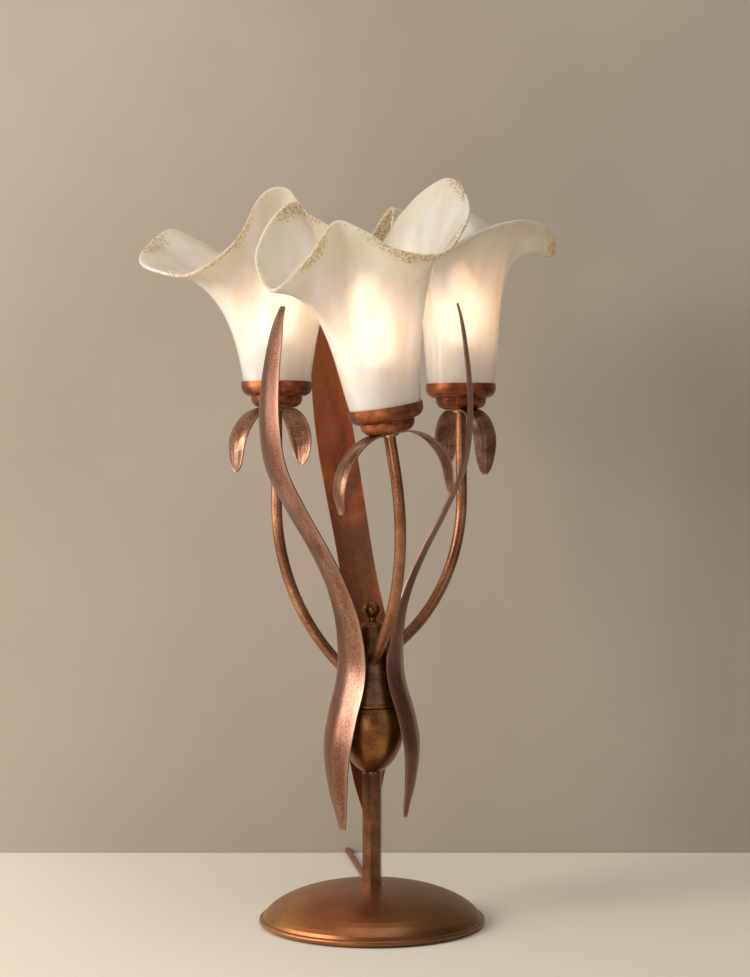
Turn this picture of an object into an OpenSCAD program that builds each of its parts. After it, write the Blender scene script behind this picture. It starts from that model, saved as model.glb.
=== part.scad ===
// Three-light tulip table lamp: a domed base, a six-sided stem, an egg-shaped body with three
// bent arms and three long leaves between them, and three lipped glass shades in copper cups.
// Millimetres. X to the right, Y away from the front, Z up. The origin is on the table, at the
// middle of the base. The lamp is built upright.

/* [Base] */
// Diameter of the domed base over its rolled rim
base_d = 190; // [170:5:240]
// Height of the dome at its flat top
base_h = 33; // [32:1:60]
// Thickness of the spun sheet of the dome
base_sheet = 1.2; // [0.8:0.1:2.5]
// Diameter of the rolled bead on the rim
base_bead = 5; // [3:0.5:7]
// Diameter of the flat seat on top of the dome
seat_d = 24; // [20:1:34]
// Thickness of the felt pad under the base
felt_t = 1.5; // [1:0.5:4]
// Gap between the cast weight and the inner end of the cord's strain relief
weight_gap = 2; // [1:0.5:15]
// Height of the rim of the cast weight
weight_h = 13; // [12:0.5:16]

/* [Stem] */
// Diameter of the hollow threaded rod that clamps the lamp together
rod_d = 10; // [8:1:12]
// Bore of the threaded rod
rod_bore = 7; // [5:0.5:8]
// Width of the six-sided stem across its flats
stem_w = 15; // [14:1:20]
// Length of the six-sided stem
stem_len = 93; // [60:1:160]
// Turn of the stem about its own axis, degrees
stem_turn = 22; // [0:1:60]

/* [Body] */
// Largest diameter of the egg-shaped lower bowl
bowl_d = 55; // [46:1:70]
// Height of the lower bowl
bowl_h = 56; // [48:1:80]
// Height of the widest place of the bowl, above its foot
bowl_belly = 43; // [34:1:46]
// Sheet thickness of the bowl
bowl_sheet = 1.5; // [1:0.1:2.5]
// Diameter of the ring that closes the bowl
ring_d = 49; // [46:1:54]
// Thickness of the ring
ring_t = 4; // [3:0.5:6]
// Diameter of the upper cone at its foot
cone_d = 44; // [42:1:48]
// Diameter of the upper cone at its top
cone_top_d = 19; // [17:1:24]
// Height of the upper cone
cone_h = 68; // [64:1:90]
// Wall of the upper cone
cone_wall = 2.5; // [2:0.5:3.5]
// Diameter of the ball on top
ball_d = 16; // [12:1:24]

/* [Arms] */
// Outer diameter of the arm tube
arm_d = 9.5; // [8:0.5:10]
// Bore of the arm tube
arm_bore = 7.5; // [6:0.5:7.5]
// Radius of each arm's bend, to the middle of the tube: left, right, front
arm_bend = [182, 143, 215]; // [110:1:230]
// Height of each arm's root above the foot of the cone
arm_root_h = [19, 42, 39]; // [18:1:48]
// Direction of each arm round the lamp: left, right, front, degrees
arm_az = [156, 36, 279]; // [0:0.5:360]
// How far each arm is turned about the line from its root to its top, degrees
arm_turn = [0, 0, 30]; // [-40:1:40]
// Slope of each arm where it leaves the cone, degrees
arm_start = [36.5, 26, 41.5]; // [18:0.5:45]
// Slope of each arm at its top, degrees
arm_end = [90, 90.5, 88]; // [85:0.5:95]
// Height of each arm's top above the table
arm_top = [432, 431, 408.5]; // [400:0.5:440]

/* [Leaves] */
// Thickness of the leaf sheet
leaf_t = 1.2; // [0.8:0.1:2]
// Largest width of the long leaves
leaf_w = 36; // [26:1:38]
// Depth of the crease along the middle of a leaf
leaf_crease = 3; // [1:0.5:6]
// Direction of each long leaf: left, right, back, degrees
leaf_az = [216.5, 336.5, 95]; // [0:0.5:360]
// How far each leaf spreads above its fixing, as a share of the common curve
leaf_spread = [1.14, 0.9, 1.06]; // [0.85:0.01:1.2]
// How far each leaf's tip has drifted sideways, to the left seen from outside
leaf_drift = [0, 0, 38]; // [-50:1:50]
// How far the upper part of each leaf is turned about its own length, degrees
leaf_twist = [-4, 20, 0]; // [-30:1:30]
// How tall each leaf is above its fixing, as a share of the common curve
leaf_rise = [1, 1.015, 1.055]; // [0.9:0.005:1.1]
// Width of each leaf, as a share of the largest width
leaf_wide = [1.13, 1, 1.15]; // [0.8:0.01:1.2]
// How long each leaf is below its fixing, as a share of the common curve
leaf_foot = [1.02, 0.95, 1]; // [0.9:0.01:1.05]
// Diameter of the studs that hold the leaves
stud_d = 5; // [4:0.5:6]

/* [Calyx strips] */
// Thickness of the strips under the cups
strip_t = 1.2; // [0.8:0.1:2]
// Largest width of a strip, in the middle of each lobe
strip_w = 23; // [18:1:26]
// Width of a strip where it is clamped
strip_waist = 16; // [15:1:20]
// Direction of each strip's near lobe: left, right, front, degrees
near_az = [223, 300, 208]; // [180:1:320]
// Direction of each strip's far lobe, degrees
far_az = [62, 107, 20]; // [0:1:130]
// Reach of each near lobe from the arm
near_reach = [46, 39, 54]; // [34:1:56]
// Reach of each far lobe from the arm
far_reach = [43, 42, 46]; // [34:1:54]
// Drop of each near lobe below the cup
near_drop = [54, 55, 55]; // [46:1:64]
// Drop of each far lobe below the cup
far_drop = [48, 48, 60]; // [46:1:64]
// Diameter of the flange of the nipple below each strip
flange_d = 15; // [13:0.5:18]

/* [Cups] */
// Rim diameter of the copper cups
cup_d = 60.8; // [58:0.2:66]
// Height of the cups
cup_h = 22; // [20:0.5:28]
// Diameter of the narrow lower step of the cups
cup_step_d = 44; // [42:1:46]
// Height of the lower step
cup_step_h = 9.6; // [8:0.2:10]
// Sheet thickness of the cups
cup_sheet = 1; // [0.8:0.1:1.5]

/* [Lampholders and bulbs] */
// Diameter of the lampholder's body
holder_d = 27; // [26:0.5:28]
// Height of the lampholder
holder_h = 50; // [44:1:54]
// Diameter of the bulb's screw cap
cap_d = 13.8; // [12:0.1:14]
// Length of the bulb's screw cap
cap_len = 24; // [20:1:26]
// Largest diameter of the candle bulb's glass
bulb_d = 35; // [30:1:38]
// Length of the candle bulb's glass
bulb_len = 75; // [66:1:80]
// Outer diameter of the ring that holds the shade
shade_ring_d = 40; // [36:1:44]

/* [Glass shades] */
// Thickness of the blown glass
glass_t = 3.5; // [2.5:0.5:4]
// Diameter of the glass where it stands out of the cup
neck_d = 58; // [56:0.2:58.2]
// Diameter of the hole in the floor of the shade
floor_hole_d = 29.6; // [29:0.2:32]

/* [Cord, switch and plug] */
// Diameter of the round mains cord
cord_d = 5.6; // [5:0.1:6]
// Diameter of the single leads inside the lamp
lead_d = 3.6; // [2.5:0.1:4]
// Length of the strain relief behind the dome
relief_len = 27; // [20:1:34]
// Middle diameter of the stored coil
coil_d = 64; // [60:1:68]
// Length of the switch on the cord
switch_len = 62; // [56:1:66]
// Width of the switch
switch_w = 24; // [22:1:28]
// Height of the switch
switch_h = 18; // [17:0.5:20]
// Angle between the two positions of the rocker, degrees
rocker_travel = 16; // [8:1:18]
// Length of the plug's body
plug_len = 36; // [32:1:38]
// Width of the plug's body
plug_w = 35; // [32:1:36]
// Thickness of the plug's body
plug_t = 14; // [13:0.5:16]
// Diameter of the plug's pins
pin_d = 4; // [3.8:0.1:4.8]
// Free length of the plug's pins
pin_len = 19; // [16:1:20]

/* [Fits] */
// Clearance round a rod, tube or stud in its hole, on the radius
fit = 0.1; // [0.05:0.05:0.2]
// Clearance between the glass or a bent strip and what it stands on
seat_gap = 0.3; // [0.2:0.1:0.5]

/* [Hidden] */
LEFT = 0;
RIGHT = 1;
FRONT = 2;
SIDES = [LEFT, RIGHT, FRONT];
copper = "#8a5238";
dark_copper = "#5a3626";
bronze = "#94693f";
brass = "#c9a35a";
iron = "#3a3b3d";
glass = "#f3e9d6";
$fn = 64;

// ---- Base ----
bead_z = felt_t - 0.5 + base_bead/2;
dome_r = base_d/2 - base_bead/2;
seat_r = seat_d/2;
dome_fall = 1.2;
boss_top = base_h - base_sheet;
weight_top = felt_t + weight_h;
recess_r = 26;
recess_top = 21;
recess_wall = 8;
washer_t = 1.5;
washer_d = 20;
nut_w = 17;
nut_t = 5;
exit_z = 9.5;
relief_d = 9;
relief_end_d = cord_d + 1.4;
hole_y = dome_r - 8.5;
bushing_y = hole_y - 4;
weight_r = bushing_y - weight_gap;
block = [16, 12.5, 10.5];
block_y = 11.5;
block_z = 4;

// ---- Heights up the stem ----
stem_top = base_h + stem_len;
bowl_top = stem_top + bowl_h;
cone_z = bowl_top + ring_t;
cone_top = cone_z + cone_h;
web_t = 8;
rod_foot = recess_top - washer_t - nut_t - 1.5;
rod_top = cone_z + web_t + 3;
ball_z = cone_top + 2 + ball_d/2;
splice_len = 34;
splice_d = 9;

// ---- Arms ----
bend_step = 0.05;
bend_lap = 1;
root_r = 16;
function root(i) = [root_r, cone_z + arm_root_h[i]];
stub_len = 7.5;
stub_out = 7;
flange_t = 1.5;
strip_z = flange_t + fit;
cup_floor = strip_z + strip_t;
rim_z = cup_floor + cup_h;
shell_nut_t = 4;
holder_z = cup_floor + cup_sheet + shell_nut_t;
nipple_top = holder_z + 7;
mouth_z = holder_z + holder_h;

// ---- Common curve of the long leaves: distance from the axis, height, half width as a share ----
leaf_curve = [
    [84, 515, 0.2], [88, 504, 0.36], [92, 486, 0.54], [97, 452, 0.7], [98, 418, 0.8], [92, 381, 0.83],
    [74, 346, 0.8], [55, 315, 0.76], [40, 286, 0.76], [30, 256, 0.86], [26, 225, 0.95],
    [28, 203, 1], [35, 180, 1], [40, 158, 0.97], [41, 138, 0.84], [38, 112, 0.6], [34, 95, 0.36],
    [32, 84, 0.2]];
leaf_fix = leaf_curve[10];
leaf_steps = 2;

// ---- Lips of the hand-formed glass shades: direction, distance from the shade's axis, height ----
lip_left = [
    [20, 64, 134], [50, 80, 114], [80, 100, 100], [115, 84, 110], [148, 76, 119], [165, 95, 131],
    [182, 110, 115], [203, 119, 94], [224, 96, 84], [244, 74, 110], [260, 62, 150], [281, 60, 156],
    [298, 67, 134], [335, 100, 102]];
lip_right = [
    [15, 84, 112], [45, 78, 122], [85, 60, 154], [112, 78, 126], [140, 98, 106], [170, 80, 122],
    [200, 62, 148], [228, 88, 110], [250, 104, 93], [285, 70, 124], [324, 66, 134], [350, 76, 130]];
lip_front = [
    [8, 88, 162], [28, 82, 167], [55, 70, 148], [85, 86, 116], [115, 76, 128], [150, 52, 166],
    [178, 64, 160], [202, 88, 130], [224, 98, 103], [238, 76, 122], [252, 55, 147], [276, 54, 136],
    [298, 60, 118], [324, 76, 110], [347, 90, 136]];
lips = [lip_left, lip_right, lip_front];
// How the wall leans out under the lip: radius, radius per lip radius, height, height per lip height
flares = [[16, 0.36, 55, 0.4], [12, 0.2, 80, 0.45], [16, 0.32, 55, 0.4]];
shade_steps = 36;
wall_steps = 8;

// ---- Cord route: round points on the table, from the strain relief to the coil ----
route_out = [
    [0, 116.5, 9.5], [0, 124, 9.2], [-0.6, 134, 7.4], [-1.6, 146, 4.8], [-3.2, 158, 3.1],
    [-5, 170, 2.8], [-7.5, 186, 2.8], [-10.4, 206, 2.8], [-13.6, 230, 2.8], [-17, 256, 2.8],
    [-20.4, 282, 2.8], [-23.4, 304, 2.8], [-25.4, 322, 2.8], [-26.2, 338, 2.8]];
coil_rows = 4;
coil_layers = 2;
coil_at = [14, 355];
switch_at = [96, coil_at[1] + coil_d/2 + (coil_rows - 1)/2*cord_d];
switch_z = switch_h/2;
route_switch = [
    [coil_at[0] + 8, switch_at[1], 8.4], [32, switch_at[1], 8.4], [44, switch_at[1], 8.6],
    [55, switch_at[1], 9], [switch_at[0] - switch_len/2, switch_at[1], 9]];
plug_at = [88, 334, plug_t/2];
plug_pitch = 19;
route_plug = [
    [switch_at[0] + switch_len/2, switch_at[1], 9], [136, 395.4, 8.4], [147, 392.6, 6.6],
    [155.6, 386, 5], [160.4, 376, 3.8], [161.4, 364.6, 3.2], [158.6, 353, 3.6], [151.6, 342.6, 4.6],
    [142, 336, 5.8], [132, 334, 6.8], [plug_at[0] + plug_len, plug_at[1], 7]];

// ================= Helpers =================

// Points of an arc: middle, radii across and up, first and last angle, number of steps
function arc(c, rx, ry, a0, a1, n) =
    [for (i = [0:n]) let (a = a0 + (a1 - a0)*i/n) [c[0] + rx*cos(a), c[1] + ry*sin(a)]];

// A point of the smooth curve through the middle two of four points
function smooth(p, q, r, s, t) =
    0.5*(2*q + (r - p)*t + (2*p - 5*q + 4*r - s)*t*t + (3*q - p - 3*r + s)*t*t*t);

// An open smooth curve through points, n steps to each stretch
function open_curve(pts, n) = let (m = len(pts) - 1) concat(
    [for (i = [0:m - 1]) for (k = [0:n - 1])
        smooth(pts[max(i - 1, 0)], pts[i], pts[i + 1], pts[min(i + 2, m)], k/n)],
    [pts[m]]);

// A closed smooth curve through points, at the share t of the way round
function closed_curve(pts, t) = let (m = len(pts), s = t*m, i = floor(s)) smooth(
    pts[(i + m - 1)%m], pts[i%m], pts[(i + 1)%m], pts[(i + 2)%m], s - i);

// A vector turned about a unit axis
function turned(v, axis, a) =
    v*cos(a) + cross(axis, v)*sin(a) + axis*(axis*v)*(1 - cos(a));

// Skin of a grid of points: rows of equal length, each row a closed ring, with two flat ends.
// An end is split across the ring into four-sided faces, so none of them is a sliver.
module lofted(rows) {
    n = len(rows[0]);
    m = len(rows);
    last = (m - 1)*n;
    polyhedron(
        points = [for (row = rows) for (p = row) p],
        faces = concat(
            [for (i = [0:m - 2]) for (j = [0:n - 1]) let (k = (j + 1)%n)
                each [[i*n + j, i*n + k, (i + 1)*n + k], [i*n + j, (i + 1)*n + k, (i + 1)*n + j]]],
            [for (k = [0:n/2 - 2]) [n - 1 - k, n - 2 - k, k + 1, k]],
            [for (k = [0:n/2 - 2]) [last + k, last + k + 1, last + n - 2 - k, last + n - 1 - k]]));
}

// Skin of a grid of points that closes on itself both ways
module ring_lofted(rows) {
    n = len(rows[0]);
    m = len(rows);
    polyhedron(
        points = [for (row = rows) for (p = row) p],
        faces = [for (i = [0:m - 1]) for (j = [0:n - 1]) let (k = (j + 1)%n, h = (i + 1)%m)
            each [[i*n + j, i*n + k, h*n + k], [i*n + j, h*n + k, h*n + j]]]);
}

// A round tube along a route of points
module swept(route, d, sides) {
    m = len(route) - 1;
    lofted([for (i = [0:m]) let (
            along = route[min(i + 1, m)] - route[max(i - 1, 0)],
            dir = along/norm(along),
            side = cross([0, 0, 1], dir)/norm(cross([0, 0, 1], dir)),
            up = cross(dir, side))
        [for (j = [0:sides - 1]) let (a = 360*j/sides)
            route[i] + d/2*(side*cos(a) - up*sin(a))]]);
}

// A bar along X, Y or Z
module bar_x(x0, x1, d) { translate([x0, 0, 0]) rotate([0, 90, 0]) cylinder(h = x1 - x0, d = d); }
module bar_y(y0, y1, d) { translate([0, y0, 0]) rotate([-90, 0, 0]) cylinder(h = y1 - y0, d = d); }

module washer(d, bore, t) { difference() { cylinder(h = t, d = d); hole(bore, t); } }
module hole(d, t) { translate([0, 0, -1]) cylinder(h = t + 2, d = d); }
module hex_nut(across, bore, t) {
    difference() {
        cylinder(h = t, d = across/cos(30), $fn = 6);
        hole(bore, t);
    }
}

// ================= Base =================

// Outline of the dome from its flat seat to its rim, on its outer face or inset by a wall
function dome_line(inset) =
    [for (i = [0:14]) let (a = 90*i/14, rise = (base_h - bead_z - inset)*pow(cos(a), dome_fall))
        [seat_r + (dome_r - seat_r - inset)*sin(a), bead_z + rise]];

module base_pad() color("#4b4a46") cylinder(h = felt_t, d = 2*dome_r - base_bead - 4, $fn = 96);

module base_weight() color(iron) difference() {
    rotate_extrude($fn = 96) polygon([
        [rod_d/2 + fit, recess_top], [recess_r, recess_top], [recess_r, felt_t],
        [weight_r, felt_t], [weight_r, weight_top],
        [recess_r + recess_wall + 8, weight_top], [recess_r + recess_wall, recess_top + 4],
        [seat_r, recess_top + 6], [seat_r, boss_top], [rod_d/2 + fit, boss_top]]);
    translate([0, 0, exit_z]) bar_y(recess_r - 4, weight_r + 1, cord_d + 1.4);
}

module base_dome() color(bronze) difference() {
    union() {
        rotate_extrude($fn = 96) polygon(concat(
            [[rod_d/2 + fit, base_h]], dome_line(0),
            [for (i = [14:-1:0]) dome_line(base_sheet)[i]], [[rod_d/2 + fit, base_h - base_sheet]]));
        translate([0, 0, bead_z]) rotate_extrude($fn = 96)
            translate([dome_r, 0]) circle(d = base_bead, $fn = 24);
    }
    translate([0, 0, exit_z]) bar_y(bushing_y, base_d/2 + 2, relief_d + 2*fit);
}

module base_washer() color("silver") translate([0, 0, recess_top - washer_t])
    washer(washer_d, rod_d + 2*fit, washer_t);

module base_nut() color("silver") translate([0, 0, recess_top - washer_t - nut_t])
    hex_nut(nut_w, rod_d + 2*fit, nut_t);

module cord_bushing() color("#3b2a20") translate([0, 0, exit_z]) difference() {
    rotate([-90, 0, 0]) rotate_extrude() polygon([
        [cord_d/2 + fit, bushing_y], [relief_d/2 + 1, bushing_y], [relief_d/2 + 1, hole_y - 2.5],
        [relief_d/2, hole_y - 2.5], [relief_d/2, base_d/2],
        [relief_end_d/2, base_d/2 + relief_len], [cord_d/2 + fit, base_d/2 + relief_len]]);
}

module terminal_block() color("ivory") translate([-block[0]/2, block_y, block_z]) cube(block);

module feed_lead() color("#6b4a34") translate([0, 0, exit_z])
    bar_y(block_y + block[1], base_d/2 + relief_len - 5.5, cord_d);

module stem_lead() color("#c9b08a") {
    bend = 6;
    low = rod_foot - bend;
    translate([0, 0, low]) bar_y(bend, block_y, lead_d);
    translate([0, bend, rod_foot]) rotate([0, -90, 0]) rotate([0, 0, 180]) rotate_extrude(angle = 90)
        translate([bend, 0]) circle(d = lead_d, $fn = 24);
    translate([0, 0, rod_foot]) cylinder(h = rod_top + 1 - rod_foot, d = lead_d, $fn = 24);
}

// ================= Stem and body =================

module centre_rod() color(brass) translate([0, 0, rod_foot]) difference() {
    cylinder(h = rod_top - rod_foot, d = rod_d);
    hole(rod_bore, rod_top - rod_foot);
}

module stem_tube() color(copper) translate([0, 0, base_h]) difference() {
    rotate([0, 0, stem_turn]) cylinder(h = stem_len, d = stem_w/cos(30), $fn = 6);
    hole(rod_d + 1, stem_len);
}

function egg(inset) = let (r = bowl_d/2 - inset, z = stem_top + bowl_belly, foot = 8 - inset) concat(
    arc([0, z], r, bowl_belly - inset, -acos(foot/r), 0, 14),
    arc([0, z], r, 31 - inset, 5, asin((bowl_h - bowl_belly)/(31 - inset)), 4));

module lower_bowl() color(bronze) rotate_extrude($fn = 96) polygon(concat(
    [[rod_d/2 + fit, stem_top], [8, stem_top]], egg(0),
    [for (i = [len(egg(0)) - 1:-1:0]) egg(bowl_sheet)[i]],
    [[rod_d/2 + fit, egg(bowl_sheet)[0][1]]]));

module rim_ring() color(copper) translate([0, 0, bowl_top]) rotate_extrude($fn = 96) difference() {
    union() {
        translate([rod_d/2 + fit, 0]) square([ring_d/2 - ring_t/2 - rod_d/2 - fit, ring_t]);
        translate([ring_d/2 - ring_t/2, ring_t/2]) circle(d = ring_t, $fn = 32);
    }
    translate([-ring_d, -1]) square([ring_d + rod_d/2 + fit, ring_t + 2]);
}

cone_round = 4;
function cone_r(z) = cone_d/2 + (cone_top_d/2 - cone_d/2)*(z - cone_z)/cone_h;

module upper_cone() color(dark_copper) difference() {
    rotate_extrude($fn = 96) polygon(concat(
        [[rod_d/2 + fit, cone_z], [cone_d/2, cone_z]],
        [[cone_r(cone_top - cone_round), cone_top - cone_round]],
        arc([cone_top_d/2 - cone_round, cone_top - cone_round], cone_round, cone_round, 20, 90, 6),
        [[stud_d/2 + fit, cone_top], [stud_d/2 + fit, cone_top - cone_round - 1],
         [cone_r(cone_top) - cone_wall - 1, cone_top - cone_round - 1],
         [cone_r(cone_z + web_t) - cone_wall, cone_z + web_t], [rod_d/2 + fit, cone_z + web_t]]));
    for (i = SIDES) arm_place(i) arm_stub(i, arm_d + 3*fit, stub_len + 1, stub_out);
    for (a = leaf_az) stud(a, stud_d + 2*fit, -5, 2);
}

module ball_finial() color(copper) {
    translate([0, 0, ball_z]) sphere(d = ball_d);
    translate([0, 0, cone_top]) cylinder(h = 4, d = 8);
    translate([0, 0, cone_top - cone_round - 3]) cylinder(h = cone_round + 4, d = stud_d);
}

module splice_cap() color("#d8d2c0") translate([0, 0, rod_top + 1])
    cylinder(h = splice_len, d = splice_d);

// ================= Arms =================
// In its own plane an arm is a short stub in the cone, one round bend and a straight top.

function bend_mid(i) = root(i) + arm_bend[i]*[-sin(arm_start[i]), cos(arm_start[i])];
function bend_end(i) = bend_mid(i) + arm_bend[i]*[sin(arm_end[i]), -cos(arm_end[i])];
function top_len(i) = (arm_top[i] - bend_end(i)[1])/sin(arm_end[i]);
function flat_top(i) = bend_end(i) + top_len(i)*[cos(arm_end[i]), sin(arm_end[i])];
function chord(i) = let (c = flat_top(i) - root(i)) [c[0], 0, c[1]]/norm(c);
// The top of an arm, and the direction in which it points there
function arm_tip(i) = turned([flat_top(i)[0], 0, flat_top(i)[1]], [0, 0, 1], arm_az[i]);
function arm_dir(i) = turned(
    turned([cos(arm_end[i]), 0, sin(arm_end[i])], chord(i), arm_turn[i]), [0, 0, 1], arm_az[i]);

module arm_place(i) {
    rotate([0, 0, arm_az[i]]) translate([root(i)[0], 0, root(i)[1]])
        rotate(a = arm_turn[i], v = chord(i)) translate([-root(i)[0], 0, -root(i)[1]]) children();
}

// The stub of an arm, which sits in the cone, from a distance below its root to one above it
module arm_stub(i, d, below, above) {
    translate([root(i)[0], 0, root(i)[1]]) rotate([0, 90 - arm_start[i], 0])
        translate([0, 0, -below]) cylinder(h = below + above, d = d, $fn = 48);
}

// A rod along an arm; its straight ends are wider by a hair than its bend and run into it
module arm_path(i, d, below, above) {
    wide = d + 2*bend_step;
    translate([root(i)[0], 0, root(i)[1]]) rotate([0, 90 - arm_start[i], 0])
        translate([0, 0, -below]) cylinder(h = below + bend_lap, d = wide, $fn = 48);
    translate([bend_mid(i)[0], 0, bend_mid(i)[1]]) rotate([90, 0, 0])
        rotate([0, 0, arm_start[i] - 90]) rotate_extrude(angle = arm_end[i] - arm_start[i], $fn = 96)
        translate([arm_bend[i], 0]) circle(d = d, $fn = 48);
    translate([bend_end(i)[0], 0, bend_end(i)[1]]) rotate([0, 90 - arm_end[i], 0])
        translate([0, 0, -bend_lap]) cylinder(h = top_len(i) + above + bend_lap, d = wide, $fn = 48);
}
module arm(i) color(copper) arm_place(i) difference() {
    arm_path(i, arm_d, stub_len, 0);
    arm_path(i, arm_bore, stub_len + 1, 1);
}

// Places its children on the top of an arm, upright along the arm's end
module head(i) {
    d = arm_dir(i);
    translate(arm_tip(i)) rotate(a = acos(d[2]), v = [-d[1], d[0], 0]) children();
}

// How far a lead runs inwards from the arm's root, to the splice cap
function lead_in(i) =
    (root_r - splice_d/2 - seat_gap - lead_d/2*sin(arm_start[i]))/cos(arm_start[i]);
module arm_leads() color("#c9b08a") for (i = SIDES)
    arm_place(i) arm_path(i, lead_d, lead_in(i), nipple_top);

module arm_nipples() color(brass) for (i = SIDES) head(i) difference() {
    union() {
        translate([0, 0, -8]) cylinder(h = 8.5, d = arm_bore - 2*fit);
        cylinder(h = flange_t, d = flange_d);
        cylinder(h = nipple_top, d = rod_d);
    }
    translate([0, 0, -9]) cylinder(h = nipple_top + 10, d = 5);
}

// ================= Long leaves =================

function leaf_line(i) = open_curve([for (p = leaf_curve) let (rise = p[1] - leaf_fix[1])
    rise > 0
        ? [leaf_fix[0] + (p[0] - leaf_fix[0])*leaf_spread[i], leaf_fix[1] + rise*leaf_rise[i], p[2]]
        : [p[0], leaf_fix[1] + rise*leaf_foot[i], p[2]]], leaf_steps);

// One ring round the blade: a shallow roof section whose ridge faces outwards
function leaf_ring(line, j, i) = let (
    m = len(line) - 1, p = line[j],
    along = [line[min(j + 1, m)][0] - line[max(j - 1, 0)][0],
             line[min(j + 1, m)][1] - line[max(j - 1, 0)][1]],
    rise = max(0, p[1] - leaf_fix[1])/(leaf_curve[0][1] - leaf_fix[1]),
    twist = leaf_twist[i]*min(1, 2.5*rise),
    flat_out = [-along[1], 0, along[0]]/norm(along),
    out = turned(flat_out, [0, 0, 1], twist),
    side = turned([0, 1, 0], [0, 0, 1], twist),
    ridge = [p[0], leaf_drift[i]*rise, p[1]],
    half = leaf_w/2*leaf_wide[i]*p[2], crease = leaf_crease*p[2],
    ys = [-1, -0.5, 0, 0.5, 1], roof = [-1, -0.42, 0, -0.42, -1])
    concat(
        [for (k = [0:4]) ridge + side*half*ys[k] + out*crease*roof[k]],
        [for (k = [4:-1:0]) ridge + side*half*ys[k] + out*(crease*roof[k] - leaf_t)]);

module leaf(i) color(copper) rotate([0, 0, leaf_az[i]]) {
    line = leaf_line(i);
    lofted([for (j = [0:len(line) - 1]) leaf_ring(line, j, i)]);
}

// A round stud between the cone and the inner face of a leaf, less or more at each end
module stud(az, d, inner, outer) {
    z = leaf_fix[1];
    rotate([0, 0, az]) translate([cone_r(z) + inner, 0, z]) rotate([0, 90, 0])
        cylinder(h = outer - inner, d = d, $fn = 32);
}
stud_len = leaf_fix[0] - leaf_t - seat_gap - cone_r(leaf_fix[1]);

module leaf_studs() color(dark_copper) for (a = leaf_az) stud(a, stud_d, -cone_wall, stud_len);

// ================= Calyx strips =================
// A strip is clamped flat in its middle; each half bends down and ends in a rounded tip.

strip_flat = 9;
strip_sag = 2.2;
function strip_line(reach, drop) = let (bend = reach - strip_flat) concat(
    [[strip_flat*0.6, 0]],
    [for (a = [0:15:90]) [strip_flat + bend*sin(a), bend*(cos(a) - 1)]],
    [for (k = [1:4]) let (s = (drop - bend)*k/4) [reach - 0.06*s, -bend - s]]);
function strip_half(s) = s < 0.55
    ? strip_waist/2 + (strip_w - strip_waist)/2*sin(90*s/0.55)
    : strip_w/2*sqrt(max(0.01, 1 - pow((s - 0.55)/0.46, 2)));

// One ring round a lobe: a shallow channel, hollow side down
function strip_ring(line, j, az, turn) = let (
    m = len(line) - 1, p = line[j], s = (j + 1)/(m + 1),
    along = line[min(j + 1, m)] - line[max(j - 1, 0)],
    out = [-along[1], along[0]]/norm(along),
    half = strip_half(s), sag = strip_sag*min(1, max(0, 3*s - 0.5))*half/(strip_w/2),
    ys = [-1, -0.6, 0, 0.6, 1], bow = [-1, -0.36, 0, -0.36, -1])
    concat(
        [for (k = [0:4]) let (o = out*(sag*bow[k] + strip_t))
            turned([p[0] + o[0], turn*half*ys[k], p[1] + o[1]], [0, 0, 1], az)],
        [for (k = [4:-1:0]) let (o = out*sag*bow[k])
            turned([p[0] + o[0], turn*half*ys[k], p[1] + o[1]], [0, 0, 1], az)]);

module calyx(i) color(copper) head(i) translate([0, 0, strip_z]) difference() {
    near = strip_line(near_reach[i], near_drop[i]);
    far = strip_line(far_reach[i], far_drop[i]);
    last = len(near) - 1;
    lofted(concat(
        [for (j = [last:-1:0]) strip_ring(near, j, near_az[i], -1)],
        [for (j = [0:last]) strip_ring(far, j, far_az[i], 1)]));
    translate([0, 0, -2]) cylinder(h = strip_t + 4, d = rod_d + 4*fit);
}

// ================= Cups, lampholders and bulbs =================

function cup_line(inset) = let (
    r1 = cup_d/2 - cup_step_d/2, z1 = cup_step_h + r1,
    r2 = cup_step_h - 1.6) concat(
    [[cup_step_d/2 - r2, inset]],
    arc([cup_step_d/2 - r2, r2], r2 - inset, r2 - inset, -75, 0, 6),
    [[cup_step_d/2 - inset, cup_step_h + inset], [cup_step_d/2, cup_step_h + inset]],
    arc([cup_step_d/2, z1], r1 - inset, r1 - inset, -75, 0, 7),
    [[cup_d/2 - inset, cup_h]]);

module cup(i) color(dark_copper) head(i) translate([0, 0, cup_floor]) rotate_extrude($fn = 96)
    polygon(concat(
        [[rod_d/2 + fit, 0]], cup_line(0),
        [for (k = [len(cup_line(0)) - 1:-1:0]) cup_line(cup_sheet)[k]], [[rod_d/2 + fit, cup_sheet]]));

module cup_nuts() color(brass) for (i = SIDES) head(i) translate([0, 0, cup_floor + cup_sheet])
    hex_nut(14, rod_d + 2*fit, shell_nut_t);

module lampholder(i) color("#1d1a18") head(i) translate([0, 0, holder_z]) rotate_extrude() polygon([
    [rod_d/2 + fit, 0], [holder_d/2 - 2, 0], [holder_d/2, 3], [holder_d/2, holder_h],
    [cap_d/2 + 1, holder_h], [cap_d/2 + 1, holder_h - cap_len - 2], [3.2, holder_h - cap_len - 2],
    [3.2, 9], [rod_d/2 + fit, 9]]);

floor_rise = 2.8;
floor_z = cup_floor + cup_step_h + floor_rise;
module shade_rings() color("#1d1a18") for (i = SIDES) head(i)
    translate([0, 0, floor_z + glass_t + seat_gap]) washer(shade_ring_d, holder_d + 2*fit, 5);

module bulb_caps() color("silver") for (i = SIDES) head(i)
    translate([0, 0, mouth_z + 1 - cap_len]) rotate_extrude() polygon([
        [0, 0], [3, 0], [cap_d/2, 4], [cap_d/2, cap_len], [cap_d/2 - 0.6, cap_len],
        [cap_d/2 - 0.6, 4.6], [0, 1.2]]);

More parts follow.
